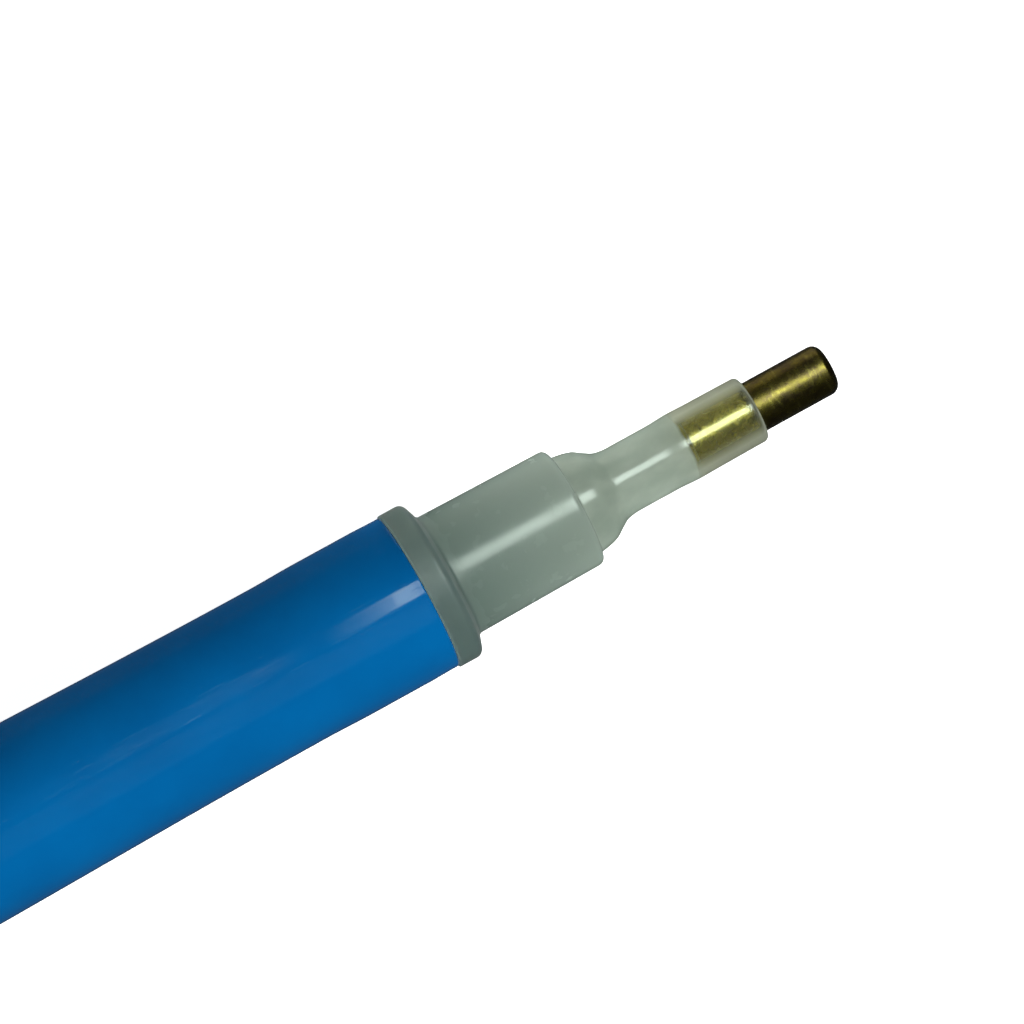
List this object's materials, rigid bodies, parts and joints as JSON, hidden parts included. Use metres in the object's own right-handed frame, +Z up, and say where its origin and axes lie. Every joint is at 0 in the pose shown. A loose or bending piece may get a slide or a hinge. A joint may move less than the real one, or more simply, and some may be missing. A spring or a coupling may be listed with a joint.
{
  "type": "pen-type hand probe",
  "caption": "Slim hand probe: a tubular handle with a flanged push-in nose, a stepped translucent nozzle and a short straight round-ended brass tip.",
  "frame": {"origin": "on the axis, at the middle of the barrel's straight grip section", "axes": "+X along the probe towards its tip, +Z up as it lies, +Y by the right-hand rule"},
  "size_m": [0.1535, 0.0084, 0.0086],
  "materials": {
    "barrel_plastic": "satin blue, moulded",
    "plug_plastic": "satin translucent grey-green, moulded",
    "clear_plastic": "glossy translucent, moulded",
    "brass": "turned, bare"
  },
  "bodies": {
    "handle": {"barrel": "barrel_plastic"},
    "nose": {"nose_plug": "plug_plastic", "nozzle": "clear_plastic"},
    "tip": {"brass_tip": "brass"},
    "end_plug": {"rear_plug": "plug_plastic"}
  },
  "joints": [
    {"name": "nose_pull", "type": "slide", "parent": "handle", "child": "nose", "axis": [1, 0, 0], "range_m": [0, 0.008]},
    {"name": "tip_pull", "type": "slide", "parent": "nose", "child": "tip", "axis": [1, 0, 0], "range_m": [0, 0.005]},
    {"name": "end_plug_pull", "type": "slide", "parent": "handle", "child": "end_plug", "axis": [-1, 0, 0], "range_m": [0, 0.008]}
  ]
}
